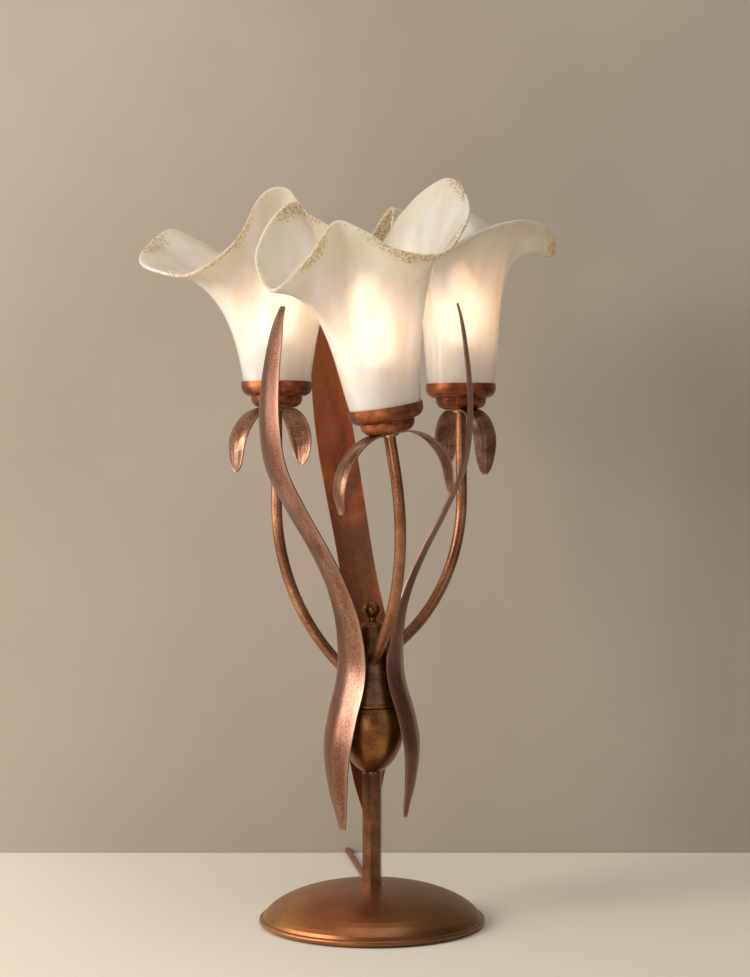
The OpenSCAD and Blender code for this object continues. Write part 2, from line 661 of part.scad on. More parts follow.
function bulb_line(inset) = let (z = bulb_len*0.36, top = bulb_len - inset) concat(
    [[cap_d/2 - 0.8 - inset, -3]],
    [for (a = [0:10:90]) [(cap_d/2 - 0.8) + (bulb_d/2 - cap_d/2 + 0.8)*pow(sin(a), 1.3) - inset,
        1 + (z - 1)*(1 - cos(a))]],
    [for (a = [10:10:80]) let (s = a/90) [(bulb_d/2 - inset)*pow(cos(a), 0.8), z + (top - z)*s]],
    [[0, top]]);

module bulb(i) color(glass) head(i) translate([0, 0, mouth_z + 1]) rotate_extrude() polygon(concat(
    bulb_line(0), [for (k = [len(bulb_line(0)) - 1:-1:0]) bulb_line(0.8)[k]]));

// ================= Glass shades =================

function lip_xyz(table) = [for (p = table) [p[1]*cos(p[0]), p[1]*sin(p[0]), p[2]]];

// A point of the wall's curve from the neck to the lip
function wall_at(t, r, h, f) = let (s = 1 - t,
    neck = [neck_d/2, 1], low = [neck_d/2 + 8, 52], high = [f[0] + f[1]*r, f[2] + f[3]*h])
    neck*s*s*s + 3*low*s*s*t + 3*high*s*t*t + [r, h]*t*t*t;

function shade_section(r, h, f) = let (
    walls = [for (k = [0:wall_steps]) wall_at(k/wall_steps, r, h, f)],
    inner = [for (k = [wall_steps:-1:0]) let (
        a = wall_at(max(0, k/wall_steps - 0.02), r, h, f),
        b = wall_at(min(1, k/wall_steps + 0.02), r, h, f),
        d = (b - a)/norm(b - a)) walls[k] + glass_t*[-d[1], d[0]]],
    low = floor_z - rim_z)
    concat(
        [[floor_hole_d/2, low], [neck_d/2 - 2.6, low], [neck_d/2 - 0.8, low + 2.4]], walls, inner,
        [[neck_d/2 - glass_t - 1, low + glass_t], [floor_hole_d/2, low + glass_t]]);

module shade(i) color(glass) head(i) translate([0, 0, rim_z])
    ring_lofted([for (k = [0:shade_steps - 1]) let (
            p = closed_curve(lip_xyz(lips[i]), k/shade_steps),
            r = norm([p[0], p[1]]), section = shade_section(r, p[2], flares[i]))
        [for (q = section) [q[0]*p[0]/r, q[0]*p[1]/r, q[1]]]]);

// ================= Cord, coil, switch and plug =================

module mains_cord() color("#6b4a34") swept(open_curve(route_out, 3), cord_d, 8);
module switch_cord() color("#6b4a34") swept(open_curve(route_switch, 2), cord_d, 8);
module plug_cord() color("#6b4a34") swept(open_curve(route_plug, 2), cord_d, 8);

coil_wide = coil_rows*cord_d;
coil_high = coil_layers*cord_d;
tie_w = 8;
tie_t = 0.8;
module tie_block(grow) {
    translate([coil_at[0] + coil_d/2 - coil_wide/2 - tie_t/2 - grow, coil_at[1] - tie_w/2 - grow, -1])
        cube([coil_wide + tie_t + 2*grow, tie_w + 2*grow, coil_high + 2]);
}
module cord_coil() color("#6b4a34") difference() {
    translate([coil_at[0], coil_at[1], 0]) rotate_extrude() translate([coil_d/2, 0]) union() {
        translate([-coil_wide/2 + cord_d/2, 0]) square([coil_wide - cord_d, coil_high]);
        translate([-coil_wide/2, cord_d/2]) square([coil_wide, coil_high - cord_d]);
        for (x = [-1, 1], z = [cord_d/2, coil_high - cord_d/2])
            translate([x*(coil_wide - cord_d)/2, z]) circle(d = cord_d, $fn = 24);
    }
    difference() {
        translate([coil_at[0] + coil_d/2 - coil_wide/2 - 2, coil_at[1] - tie_w/2 - fit, -1])
            cube([coil_wide + 4, tie_w + 2*fit, coil_high + 2]);
        translate([coil_at[0] + coil_d/2 - coil_wide/2 + tie_t, coil_at[1] - tie_w, tie_t])
            cube([coil_wide - 2*tie_t, 2*tie_w, coil_high - 2*tie_t]);
    }
}
module coil_tie() color("#26221f") difference() {
    translate([coil_at[0] + coil_d/2 - coil_wide/2, coil_at[1] - tie_w/2, 0])
        cube([coil_wide, tie_w, coil_high]);
    translate([coil_at[0] + coil_d/2 - coil_wide/2 + tie_t - fit, coil_at[1] - tie_w, tie_t - fit])
        cube([coil_wide - 2*tie_t + 2*fit, 2*tie_w, coil_high - 2*tie_t + 2*fit]);
}

rocker_z = switch_h - 4.5;
rocker_len = 20.4;
rocker_w = 10.4;
axle_d = 3;
shell_t = 2;
module at_switch() { translate([switch_at[0], switch_at[1], 0]) children(); }

module switch_outline(inset, z0, z1) {
    r = 8 - inset;
    translate([0, 0, z0]) linear_extrude(z1 - z0) union() {
        square([switch_len - 2*inset - 2*r, switch_w - 2*inset], center = true);
        square([switch_len - 2*inset, switch_w - 2*inset - 2*r], center = true);
        for (x = [-1, 1], y = [-1, 1])
            translate([x*(switch_len/2 - inset - r), y*(switch_w/2 - inset - r)]) circle(r = r, $fn = 48);
    }
}
module switch_bores() {
    translate([0, 0, switch_z]) {
        bar_x(-switch_len/2 - 1, -switch_len/2 + 8, cord_d + 2*fit);
        bar_x(switch_len/2 - 8, switch_len/2 + 1, cord_d + 2*fit);
    }
    for (x = [-1, 1]) translate([x*(switch_len/2 - 12), 0, -1])
        cylinder(h = switch_z + 6, d = axle_d + 2*fit);
}

module switch_base() color("#2b211b") at_switch() difference() {
    switch_outline(0, 0, switch_z);
    translate([-13, -switch_w/2 + shell_t, shell_t]) cube([26, switch_w - 2*shell_t, switch_z]);
    switch_bores();
}
module switch_cover() color("#2b211b") at_switch() difference() {
    switch_outline(0, switch_z, switch_h);
    translate([-13, -rocker_w/2 - 0.6, switch_z - 1])
        cube([26, rocker_w + 1.2, switch_h - switch_z - shell_t + 1]);
    translate([-rocker_len/2 - 1.4, -rocker_w/2 - 0.4, switch_z])
        cube([rocker_len + 2.8, rocker_w + 0.8, switch_h]);
    translate([0, 0, rocker_z]) bar_y(-rocker_w/2 - 3.2, rocker_w/2 + 3.2, axle_d + 4*fit);
    switch_bores();
}
module switch_rocker() color("#120f0d") at_switch() translate([0, 0, rocker_z])
    rotate([0, rocker_travel/2, 0]) {
        translate([0, rocker_w/2, 0]) rotate([90, 0, 0]) linear_extrude(rocker_w) polygon([
            [-rocker_len/2, -1], [-3, -1], [0, -3.6], [3, -1], [rocker_len/2, -1],
            [rocker_len/2, 5.2], [0, 3.4], [-rocker_len/2, 5.2]]);
        bar_y(-rocker_w/2 - 2.8, rocker_w/2 + 2.8, axle_d);
    }
module switch_screws() color("silver") at_switch() for (x = [-1, 1])
    translate([x*(switch_len/2 - 12), 0, 1]) cylinder(h = switch_z + 3, d = axle_d);

module plug_body() color("#2b211b") translate(plug_at) difference() {
    translate([0, 0, -plug_t/2]) linear_extrude(plug_t) polygon([
        [0, -plug_w/2 + 3], [3, -plug_w/2], [plug_len*0.45, -plug_w/2], [plug_len*0.8, -7],
        [plug_len, -6], [plug_len, 6], [plug_len*0.8, 7], [plug_len*0.45, plug_w/2],
        [3, plug_w/2], [0, plug_w/2 - 3]]);
    for (y = [-1, 1]) translate([0, y*plug_pitch/2, 0]) bar_x(-1, 8, pin_d + 2*fit);
}
module plug_pins() color("silver") translate(plug_at) for (y = [-1, 1])
    translate([0, y*plug_pitch/2, 0]) {
        bar_x(-pin_len, 7, pin_d);
        translate([-pin_len, 0, 0]) sphere(d = pin_d, $fn = 32);
    }

base_pad();
base_weight();
base_dome();
base_washer();
base_nut();
cord_bushing();
terminal_block();
feed_lead();
stem_lead();
splice_cap();
centre_rod();
stem_tube();
lower_bowl();
rim_ring();
upper_cone();
ball_finial();
arm(LEFT);  // arm_left
arm(RIGHT);  // arm_right
arm(FRONT);  // arm_front
arm_leads();
arm_nipples();
leaf(0);  // leaf_left
leaf(1);  // leaf_right
leaf(2);  // leaf_back
leaf_studs();
calyx(LEFT);  // calyx_left
calyx(RIGHT);  // calyx_right
calyx(FRONT);  // calyx_front
cup(LEFT);  // cup_left
cup(RIGHT);  // cup_right
cup(FRONT);  // cup_front
cup_nuts();
lampholder(LEFT);  // lampholder_left
lampholder(RIGHT);  // lampholder_right
lampholder(FRONT);  // lampholder_front
shade_rings();
shade(LEFT);  // shade_left
shade(RIGHT);  // shade_right
shade(FRONT);  // shade_front
bulb_caps();
bulb(LEFT);  // bulb_left
bulb(RIGHT);  // bulb_right
bulb(FRONT);  // bulb_front
mains_cord();
cord_coil();
coil_tie();
switch_cord();
plug_cord();
switch_base();
switch_cover();
switch_rocker();
switch_screws();
plug_body();
plug_pins();
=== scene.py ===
# %% [markdown]
# # A three-light tulip table lamp
# This lamp is a copper "plant": a domed foot, a six-sided stem, an egg-shaped body, three bent
# arms with long leaves between them, and three hand-formed glass tulips that glow from inside.
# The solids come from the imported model, and this script dresses them: it rebuilds the free-formed
# pieces with finer skins, lays the cord and gives every surface its finish.

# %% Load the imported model
import math
import bmesh
import bpy
from mathutils import Euler, Matrix, Vector


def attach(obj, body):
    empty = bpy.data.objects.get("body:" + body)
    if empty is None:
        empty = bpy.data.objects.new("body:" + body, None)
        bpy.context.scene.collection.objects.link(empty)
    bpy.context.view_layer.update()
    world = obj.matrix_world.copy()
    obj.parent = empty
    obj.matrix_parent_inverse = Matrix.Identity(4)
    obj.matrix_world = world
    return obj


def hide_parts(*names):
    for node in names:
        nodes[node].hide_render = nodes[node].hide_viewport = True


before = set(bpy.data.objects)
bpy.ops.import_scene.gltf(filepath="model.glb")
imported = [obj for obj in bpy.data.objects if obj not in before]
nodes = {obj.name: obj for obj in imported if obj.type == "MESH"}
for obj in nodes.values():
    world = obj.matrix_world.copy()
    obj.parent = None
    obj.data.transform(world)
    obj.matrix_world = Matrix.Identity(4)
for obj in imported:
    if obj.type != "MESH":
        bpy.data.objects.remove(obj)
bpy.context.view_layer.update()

scene = bpy.context.scene
MM = 0.001

# %% [markdown]
# ## Small tools
# A material is a tree of shader nodes. One function adds a node, sets its values and joins its
# sockets, so a finish reads from top to bottom. Colours are written as hex values, as in a paint
# book, and one function turns them to the linear values that a renderer needs.

# %% Colour and shader-node helpers
def linear(hex_colour, alpha=1.0):
    """An sRGB hex colour as linear red, green, blue and alpha."""
    parts = [int(hex_colour[i:i + 2], 16) / 255 for i in (1, 3, 5)]
    return (*[c / 12.92 if c <= 0.04045 else ((c + 0.055) / 1.055) ** 2.4 for c in parts], alpha)


def add(tree, kind, inputs=None, stops=None, **settings):
    """Adds one shader node. inputs maps sockets to values or to other sockets; stops fill a ramp."""
    made = tree.nodes.new("ShaderNode" + kind)
    for name, value in settings.items():
        setattr(made, name, value)
    if stops:
        ramp = made.color_ramp
        while len(ramp.elements) < len(stops):
            ramp.elements.new(0.5)
        for element, (place, colour) in zip(ramp.elements, stops):
            element.position = place
            element.color = linear(colour) if isinstance(colour, str) else (colour, colour, colour, 1)
    for name, value in (inputs or {}).items():
        if isinstance(value, bpy.types.NodeSocket):
            tree.links.new(value, made.inputs[name])
        else:
            made.inputs[name].default_value = value
    return made


def new_material(name):
    """An empty material: its tree, its output node and its surface shader."""
    material = bpy.data.materials.new(name)
    material.use_nodes = True
    tree = material.node_tree
    tree.nodes.clear()
    out = add(tree, "OutputMaterial")
    surface = add(tree, "BsdfPrincipled")
    tree.links.new(surface.outputs[0], out.inputs["Surface"])
    return material, tree, surface


# %% [markdown]
# Every piece ends the same way: its faces get smooth shading, it takes its material, rides on a
# body of the model and, where it stands for plain solids, hides them.

# %% Finishing a piece
def finish_piece(name, bm, material, replaced=(), body="lamp", smooth_angle=40):
    """Makes an object of a bmesh, shades it smooth up to an angle and puts it on its body."""
    bmesh.ops.recalc_face_normals(bm, faces=bm.faces)
    mesh = bpy.data.meshes.new(name)
    bm.to_mesh(mesh)
    bm.free()
    piece = bpy.data.objects.new(name, mesh)
    scene.collection.objects.link(piece)
    for face in mesh.polygons:
        face.use_smooth = True
    mesh.set_sharp_from_angle(angle=math.radians(smooth_angle))
    mesh.materials.append(material)
    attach(piece, body)
    if replaced:
        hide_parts(*replaced)
    return piece


def dress(material, *names):
    """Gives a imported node, whose shape is already right, its finish."""
    for name in names:
        mesh = nodes[name].data
        mesh.materials.clear()
        mesh.materials.append(material)


# %% [markdown]
# ## Camera, table and backdrop
# The photograph was taken nearly level from 1.73 m, so the camera stands at the height of the
# glass necks and is shifted a little instead of tilted. The lamp stands on a pale table, with a
# plain wall close behind it. The wall shows only from its front, so that nothing hides the lamp
# when it is seen from behind. It throws no shadow either, so the wound cord past it is lit.

# %% Camera
PHOTO_W = 750
PHOTO_H = 977
FOCAL_PX = 2054
AXIS_PX = (372, 463)
CAMERA_AT = Vector((0, -1.73, 0.387))
SENSOR_MM = 36

camera_data = bpy.data.cameras.new("photo_camera")
camera_data.sensor_width = SENSOR_MM
camera_data.lens = FOCAL_PX / PHOTO_H * SENSOR_MM
camera_data.shift_x = (PHOTO_W / 2 - AXIS_PX[0]) / PHOTO_H
camera_data.shift_y = (AXIS_PX[1] - PHOTO_H / 2) / PHOTO_H
camera = bpy.data.objects.new("photo_camera", camera_data)
camera.location = CAMERA_AT
camera.rotation_euler = Euler((math.radians(90), 0, 0))
scene.collection.objects.link(camera)
scene.camera = camera
scene.view_settings.view_transform = "Standard"
print("lens, mm:", round(camera_data.lens, 1))

# %% Table and backdrop
WALL_Y = 0.309
STAGE_HALF = 12.0
PAINT_CLOUD_MM = 1000 / 2.2  # about 450 mm


def stage_plane(name, matrix, material):
    """A large flat sheet that belongs to the studio and not to the lamp."""
    bm = bmesh.new()
    bmesh.ops.create_grid(bm, x_segments=1, y_segments=1, size=STAGE_HALF, matrix=matrix)
    mesh = bpy.data.meshes.new(name)
    bm.to_mesh(mesh)
    bm.free()
    mesh.materials.append(material)
    plane = bpy.data.objects.new(name, mesh)
    scene.collection.objects.link(plane)
    return plane


def plaster(name, colour, one_sided):
    """Matt painted surface with faint clouds. A one-sided one is clear when seen from behind."""
    material, tree, surface = new_material(name)
    place = add(tree, "TexCoord")
    clouds = add(tree, "TexNoise", {"Vector": place.outputs["Object"],
                                    "Scale": 1 / (PAINT_CLOUD_MM * MM), "Detail": 4})
    tone = add(tree, "ValToRGB", {"Fac": clouds.outputs[0]},
               stops=[(0.3, colour[0]), (0.7, colour[1])])
    tree.links.new(tone.outputs[0], surface.inputs["Base Color"])
    surface.inputs["Roughness"].default_value = 0.9
    surface.inputs["Specular IOR Level"].default_value = 0.2
    if one_sided:
        seen = add(tree, "NewGeometry")
        clear = add(tree, "BsdfTransparent")
        both = add(tree, "MixShader", {0: seen.outputs["Backfacing"], 1: surface.outputs[0],
                                       2: clear.outputs[0]})
        tree.links.new(both.outputs[0], tree.nodes["Material Output"].inputs["Surface"])
    return material


table_paint = plaster("matt_table_paint", ("#dcd6cc", "#e2ddd4"), False)
wall_paint = plaster("matt_wall_paint", ("#a0978c", "#aea59a"), True)
stage_plane("table", Matrix.Identity(4), table_paint)
upright = Matrix.Rotation(math.radians(90), 4, "X")
wall = stage_plane("backdrop", Matrix.Translation((0, WALL_Y, 0)) @ upright, wall_paint)
wall.visible_shadow = False
print("wall behind the lamp's axis, mm:", round(WALL_Y / MM))

# %% [markdown]
# ## The cord
# A table lamp has about 1.8 m of round flex. The photograph shows only its first stretch behind
# the foot, so the rest lies past the wall as it is stored: wound in a flat coil, two layers of
# four turns, and tied. The turns go inwards on the table and outwards again on top, and the last
# one is left after a quarter, where the cord heads for the switch. The points where it isn't
# wound are the same as in the part's source.

# %% Cord route
CORD_D = 5.6 * MM
COIL_AT = Vector((14, 355, 0)) * MM
COIL_MEAN_R = 32 * MM
COIL_ROWS = 4
COIL_STEP_DEG = 15
CROSSING_DEG = 40
COIL_LAST_DEG = 90
CORD_STEPS = 4
FLOOR_Z = CORD_D / 2
ROUTE_OUT = [(0, 116.5, 9.5), (0, 124, 9.2), (-0.6, 134, 7.4), (-1.6, 146, 4.8), (-3.2, 158, 3.1),
             (-5, 170, 2.8), (-7.5, 186, 2.8), (-10.4, 206, 2.8), (-13.6, 230, 2.8), (-17, 256, 2.8),
             (-20.4, 282, 2.8), (-23.4, 304, 2.8), (-25.4, 322, 2.8), (-26.2, 338, 2.8)]
ROUTE_SWITCH = [(32, 395.4, 8.4), (44, 395.4, 8.6), (55, 395.4, 9), (65, 395.4, 9)]
ROUTE_PLUG = [(127, 395.4, 9), (136, 395.4, 8.4), (147, 392.6, 6.6), (155.6, 386, 5),
              (160.4, 376, 3.8), (161.4, 364.6, 3.2), (158.6, 353, 3.6), (151.6, 342.6, 4.6),
              (142, 336, 5.8), (132, 334, 6.8), (124, 334, 7)]


def ease(t):
    """A smooth step from 0 to 1."""
    t = min(1, max(0, t))
    return t * t * (3 - 2 * t)


def coil_points():
    """The wound turns. Each crossing to the next row starts a little sooner round the coil."""
    slots = [COIL_ROWS - 1 - k for k in range(COIL_ROWS)] + list(range(COIL_ROWS))
    points = []
    end = COIL_LAST_DEG + 360 * (len(slots) - 1)
    for s in range(0, end + 1, COIL_STEP_DEG):
        row = slots[0]
        layer = 0
        for k in range(1, len(slots)):
            t = ease((s - (360 - CROSSING_DEG) * k) / CROSSING_DEG)
            row += t * (slots[k] - slots[k - 1])
            if k == COIL_ROWS:
                layer += t
        radius = COIL_MEAN_R + (row - (COIL_ROWS - 1) / 2) * CORD_D
        angle = math.radians(180 - s)
        points.append(COIL_AT + Vector((radius * math.cos(angle), radius * math.sin(angle),
                                        FLOOR_Z + layer * CORD_D)))
    return points


def spline_point(p, q, r, s, t):
    """The point at t between q and r, on the smooth curve through p, q, r and s."""
    return 0.5 * (2 * q + (r - p) * t + (2 * p - 5 * q + 4 * r - s) * t * t
                  + (3 * q - p - 3 * r + s) * t ** 3)


def smooth_through(points, steps):
    """A smooth curve through points, with a number of steps to each stretch."""
    out = []
    last = len(points) - 1
    for i in range(last):
        four = (points[max(i - 1, 0)], points[i], points[i + 1], points[min(i + 2, last)])
        out += [spline_point(*four, k / steps) for k in range(steps)]
    return out + [points[last]]


def length_of(points):
    """The length of a line through points."""
    return sum((b - a).length for a, b in zip(points, points[1:]))


def in_metres(points):
    """Points that are written in mm, as vectors in metres."""
    return [Vector(p) * MM for p in points]


out_and_wound = in_metres(ROUTE_OUT) + coil_points() + in_metres(ROUTE_SWITCH)
cord_route = smooth_through(out_and_wound, CORD_STEPS)
plug_route = smooth_through(in_metres(ROUTE_PLUG), CORD_STEPS)
print("cord to the switch, m:", round(length_of(cord_route), 3),
      "and on to the plug, m:", round(length_of(plug_route), 3))

# %% [markdown]
# The cord is a curve with a round bevel. Its finish is soft PVC, extruded: smooth, slightly
# glossy, amber brown. It is two curves, because the switch sits between them.

# %% Moulded and extruded plastic
def moulded(name, colour, roughness, grain_mm, bump=0.12):
    """Moulded or extruded plastic: one colour, with the faint pebble that the tool leaves."""
    material, tree, surface = new_material(name)
    place = add(tree, "TexCoord")
    pebble = add(tree, "TexNoise", {"Vector": place.outputs["Object"],
                                    "Scale": 1 / (grain_mm * MM), "Detail": 3})
    tone = add(tree, "ValToRGB", {"Fac": pebble.outputs[0]},
               stops=[(0.35, colour[0]), (0.65, colour[1])])
    relief = add(tree, "Bump", {"Height": pebble.outputs[0], "Strength": bump,
                                "Distance": 0.1 * MM})
    tree.links.new(tone.outputs[0], surface.inputs["Base Color"])
    tree.links.new(relief.outputs[0], surface.inputs["Normal"])
    surface.inputs["Roughness"].default_value = roughness
    surface.inputs["IOR"].default_value = 1.5
    return material


# extruded PVC: the die leaves it smooth, so it carries a long soft highlight
cord_pvc = moulded("extruded_brown_pvc", ("#6b4124", "#7d4d2b"), 0.38, 1.4)


# %% Cord curves
CORD_ROUNDNESS = 6


def cord_curve(name, route, replaced):
    """A round cord along a route, as a curve of one open spline."""
    data = bpy.data.curves.new(name, "CURVE")
    data.dimensions = "3D"
    data.bevel_depth = CORD_D / 2
    data.bevel_resolution = CORD_ROUNDNESS
    data.use_fill_caps = True
    spline = data.splines.new("POLY")
    spline.points.add(len(route) - 1)
    for point, place in zip(spline.points, route):
        point.co = (*place, 1)
    spline.use_smooth = True
    data.materials.append(cord_pvc)
    piece = bpy.data.objects.new(name, data)
    scene.collection.objects.link(piece)
    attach(piece, "lamp")
    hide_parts(*replaced)
    return piece


lamp_cord = cord_curve("lamp_cord", cord_route, ["mains_cord", "cord_coil", "switch_cord"])
plug_cord = cord_curve("plug_lead", plug_route, ["plug_cord"])

# %% [markdown]
# ## Where the heads stand
# Each light is a stack on one axis: nipple, calyx strip, cup, lampholder, glass. The axis is read
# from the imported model, as the line from the middle of the cup to the middle of the bulb, and the
# head's own frame stands on the cup's rim, turned from upright by the smallest turn.

# %% Head frames
SIDES = ("left", "right", "front")


def middle(name):
    """The mean of a node's points, which for a turned piece is on its axis."""
    points = [v.co for v in nodes[name].data.vertices]
    return sum(points, Vector()) / len(points)


def head_frame(side):
    """The frame on a cup's rim, in metres."""
    cup_mid = middle("cup_" + side)
    axis = (middle("bulb_" + side) - cup_mid).normalized()
    rim = max((v.co - cup_mid).dot(axis) for v in nodes["cup_" + side].data.vertices)
    turn = Vector((0, 0, 1)).rotation_difference(axis).to_matrix().to_4x4()
    return Matrix.Translation(cup_mid + axis * rim) @ turn


heads = {side: head_frame(side) for side in SIDES}
for side, head in heads.items():
    print(side, "rim, mm:", [round(v / MM, 1) for v in head.translation],
          "axis:", [round(v, 3) for v in head.col[2][:3]])

# %% [markdown]
# ## The glass tulips
# Each shade is a gathered bubble of alabaster glass. It was opened hot, pulled into three or four
# petals and its lip was fire-polished into a bead. No two are alike, so each lip is a short list
# of points: direction round the shade in degrees, distance from its axis and height above the cup
# in mm. A wall runs from the neck to the lip as one Bezier curve, so the petals flare by
# themselves. A flare says where that curve's last handle stands: a distance and the share of the
# lip's distance added to it, then the same for the height.

# %% Shapes of the glass
LIPS = {
    "left": [(20, 64, 134), (50, 80, 114), (80, 100, 100), (115, 84, 110), (148, 76, 119),
             (165, 95, 131), (182, 110, 115), (203, 119, 94), (224, 96, 84), (244, 74, 110),
             (260, 62, 150), (281, 60, 156), (298, 67, 134), (335, 100, 102)],
    "right": [(15, 84, 112), (45, 78, 122), (85, 60, 154), (112, 78, 126), (140, 98, 106),
              (170, 80, 122), (200, 62, 148), (228, 88, 110), (250, 104, 93), (285, 70, 124),
              (324, 66, 134), (350, 76, 130)],
    "front": [(8, 88, 162), (28, 82, 167), (55, 70, 148), (85, 86, 116), (115, 76, 128),
              (150, 52, 166), (178, 64, 160), (202, 88, 130), (224, 98, 103), (238, 76, 122),
              (252, 55, 147), (276, 54, 136), (298, 60, 118), (324, 76, 110), (347, 90, 136)]}
FLARES = {"left": (16, 0.36, 55, 0.4), "right": (12, 0.2, 80, 0.45), "front": (16, 0.32, 55, 0.4)}
GLASS_T = 3.5
NECK_R = 29
BELL_SWELL = 8
BELL_HEIGHT = 52
FLOOR_HOLE_R = 14.8
FLOOR_DROP = -9.6
FLOOR_EDGE = [(NECK_R - 2.6, 0), (NECK_R - 0.8, 2.4)]
PULL_DEPTH = 0.7
BEAD_R = 0.56 * GLASS_T
BEAD_DEG = (90, 50, 15, -15, -50, -90)
ROUND_STEPS = 112
WALL_STEPS = 16
SLOPE_STEP = 0.02


def lip_point(side, share):
    """A point of the closed lip, as distance from the axis, height and direction."""
    lip = [Vector((r * math.cos(math.radians(a)), r * math.sin(math.radians(a)), h))
           for a, r, h in LIPS[side]]
    n = len(lip)
    i = int(share * n) % n
    four = [lip[(i + k) % n] for k in (-1, 0, 1, 2)]
    point = spline_point(*four, share * n - int(share * n))
    return math.hypot(point.x, point.y), point.z, math.atan2(point.y, point.x)


def wall_point(t, radius, height, flare):
    """The outer wall's curve from the neck, at 0, to the lip, at 1."""
    s = 1 - t
    out, out_share, rise, rise_share = flare
    neck = Vector((NECK_R, 1))
    low = Vector((NECK_R + BELL_SWELL, BELL_HEIGHT))
    high = Vector((out + out_share * radius, rise + rise_share * height))
    return (neck * s ** 3 + low * 3 * s * s * t + high * 3 * s * t * t
            + Vector((radius, height)) * t ** 3)


def glass_section(side, share):
    """The closed outline of the glass in one direction: floor, outer wall, bead, inner wall."""
    radius, height, angle = lip_point(side, share)
    flare = FLARES[side]
    walls = [wall_point(k / WALL_STEPS, radius, height, flare) for k in range(WALL_STEPS + 1)]
    along = [(wall_point(min(1, k / WALL_STEPS + SLOPE_STEP), radius, height, flare)
              - wall_point(max(0, k / WALL_STEPS - SLOPE_STEP), radius, height, flare)).normalized()
             for k in range(WALL_STEPS + 1)]
    inward = [Vector((-d.y, d.x)) for d in along]
    # faint pulls in the hot glass: long ripples that grow towards the lip
    for k in range(WALL_STEPS + 1):
        grow = (k / WALL_STEPS) ** 1.6
        broad = 0.5 * math.sin(9 * angle + 2.2 * k / WALL_STEPS)
        narrow = 0.4 * math.sin(17 * angle + 1.3)
        walls[k] = walls[k] + inward[k] * (0.5 + broad + narrow) * grow * PULL_DEPTH
    inner = [w + n * GLASS_T for w, n in zip(walls, inward)]
    tip = (walls[-1] + inner[-1]) / 2
    bead = [tip + (along[-1] * math.cos(a) - inward[-1] * math.sin(a)) * BEAD_R
            for a in map(math.radians, BEAD_DEG)]
    under = [Vector((r, FLOOR_DROP + h)) for r, h in [(FLOOR_HOLE_R, 0)] + FLOOR_EDGE]
    top = [Vector((r, FLOOR_DROP + GLASS_T)) for r in (NECK_R - GLASS_T - 1, FLOOR_HOLE_R)]
    return angle, under + walls[:-1] + bead + inner[-2::-1] + top


# %% [markdown]
# The skin starts as a ring of points. It is extruded ring by ring along the outline and the last
# ring is bridged back to the first, so the shell is closed, with a real wall and a rolled bead.

# %% Blow one shade
def blow_shade(side):
    """A closed glass shell, extruded ring by ring, in the lamp's own place."""
    sections = [glass_section(side, k / ROUND_STEPS) for k in range(ROUND_STEPS)]
    head = heads[side]
    bm = bmesh.new()
    ring = bmesh.ops.create_circle(bm, segments=ROUND_STEPS, radius=1)["verts"]
    first = bm.edges[:]
    edges = first
    for j in range(len(sections[0][1])):
        if j:
            made = bmesh.ops.extrude_edge_only(bm, edges=edges)["geom"]
            ring = [next(e.other_vert(v) for e in v.link_edges
                         if e.other_vert(v) in made and e.other_vert(v) not in ring)
                    for v in ring]
            edges = [g for g in made if isinstance(g, bmesh.types.BMEdge)
                     and g.verts[0] in ring and g.verts[1] in ring]
        for v, (angle, outline) in zip(ring, sections):
            r, z = outline[j]
            v.co = head @ (Vector((r * math.cos(angle), r * math.sin(angle), z)) * MM)
    bmesh.ops.bridge_loops(bm, edges=first + edges)
    return bm


# %% [markdown]
# The glass is opal alabaster: light soaks through it, so it is white in itself. A warm light is
# painted into it as emission, by height up the wall, so that it is brightest near the bulb. The
# hot glass left milky streaks that run up the wall, and the lip was rolled in amber and gold frit,
# which shows as a speckled band. The glass took it up unevenly, so soft clouds make the band wider
# in one place and nearly empty in the next.

# %% Alabaster glass
# the sizes of these patterns were set beside the photograph, and weren't measured
STREAK_MM = 1000 / 55
STREAK_SQUEEZE = 0.22
FRIT_CLOUD_MM = 1000 / 16
FRIT_MM = 1000 / 480
FRIT_BAND = 34
UP_START = -9
UP_SPAN = 140


